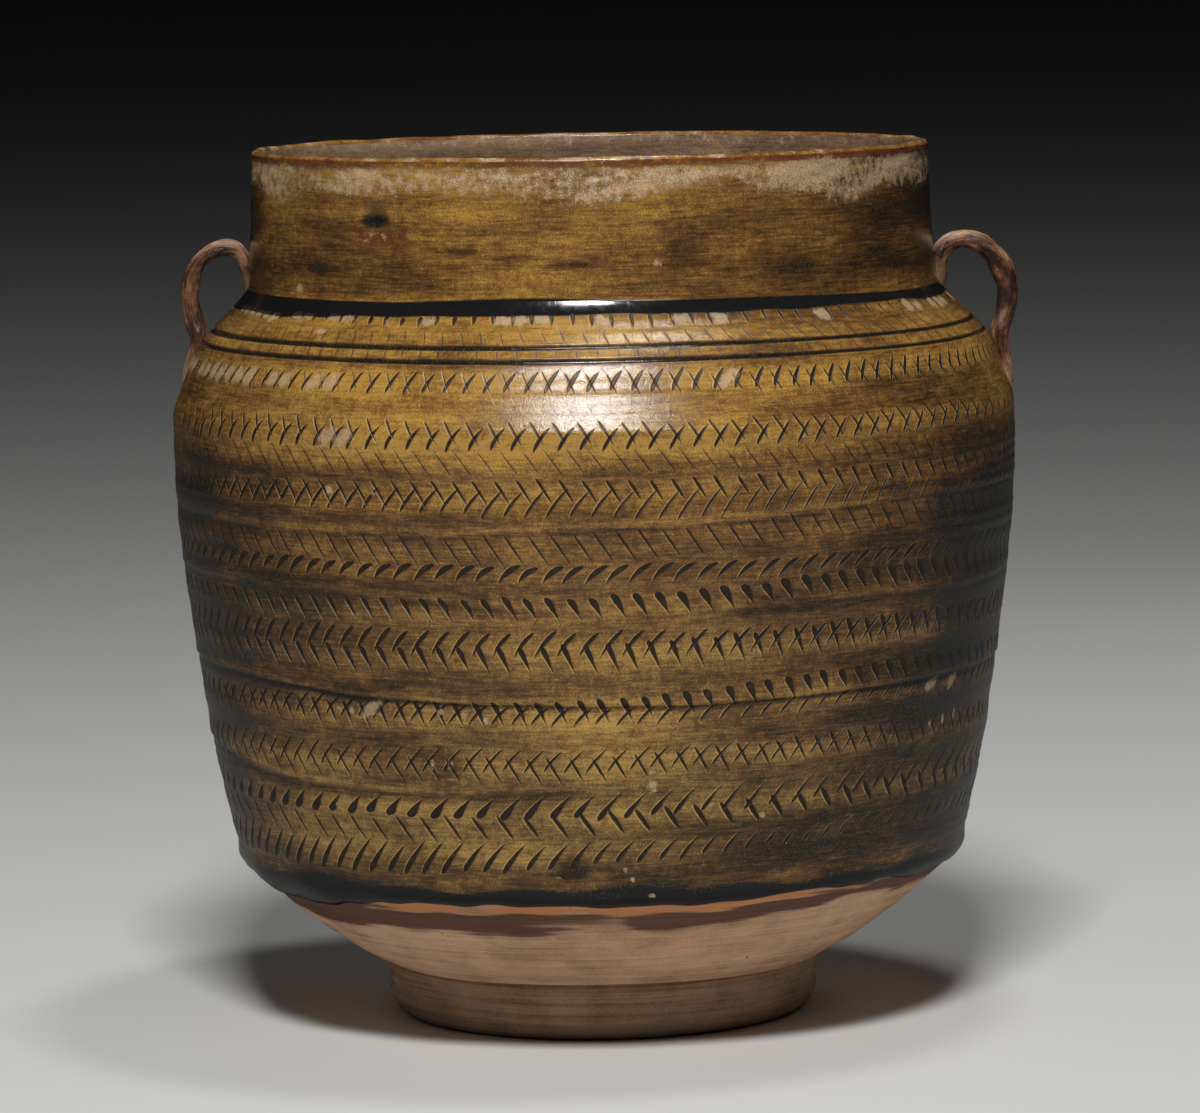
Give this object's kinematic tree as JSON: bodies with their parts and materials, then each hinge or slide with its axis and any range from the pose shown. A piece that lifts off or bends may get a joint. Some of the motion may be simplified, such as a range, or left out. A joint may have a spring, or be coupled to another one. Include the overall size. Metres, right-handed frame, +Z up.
{
  "type": "stoneware jar",
  "caption": "Wide-mouthed glazed stoneware storage jar with a straight collar, small side loop handles, an unglazed lower bowl and a low foot ring.",
  "frame": {"origin": "centre of the foot on the surface that the jar stands on", "axes": "+Z up along the jar's axis, handles at -X and +X, -Y towards the picture's viewer"},
  "size_m": [0.2425, 0.2412, 0.25],
  "materials": {
    "collar_glaze": "worn amber brown glaze, pooled black at the base",
    "shoulder_glaze": "glossy olive amber glaze",
    "body_glaze": "glossy amber brown glaze over cut marks",
    "bare_clay": "bare turned clay",
    "foot_clay": "bare turned clay, slightly greyed",
    "handle_clay": "thin worn glaze over iron red clay"
  },
  "bodies": {
    "root": {"collar": "collar_glaze", "shoulder": "shoulder_glaze", "upper_wall": "body_glaze", "lower_wall": "body_glaze", "lower_bowl": "bare_clay", "foot_ring": "foot_clay", "handle_left": "handle_clay", "handle_right": "handle_clay"}
  },
  "joints": []
}
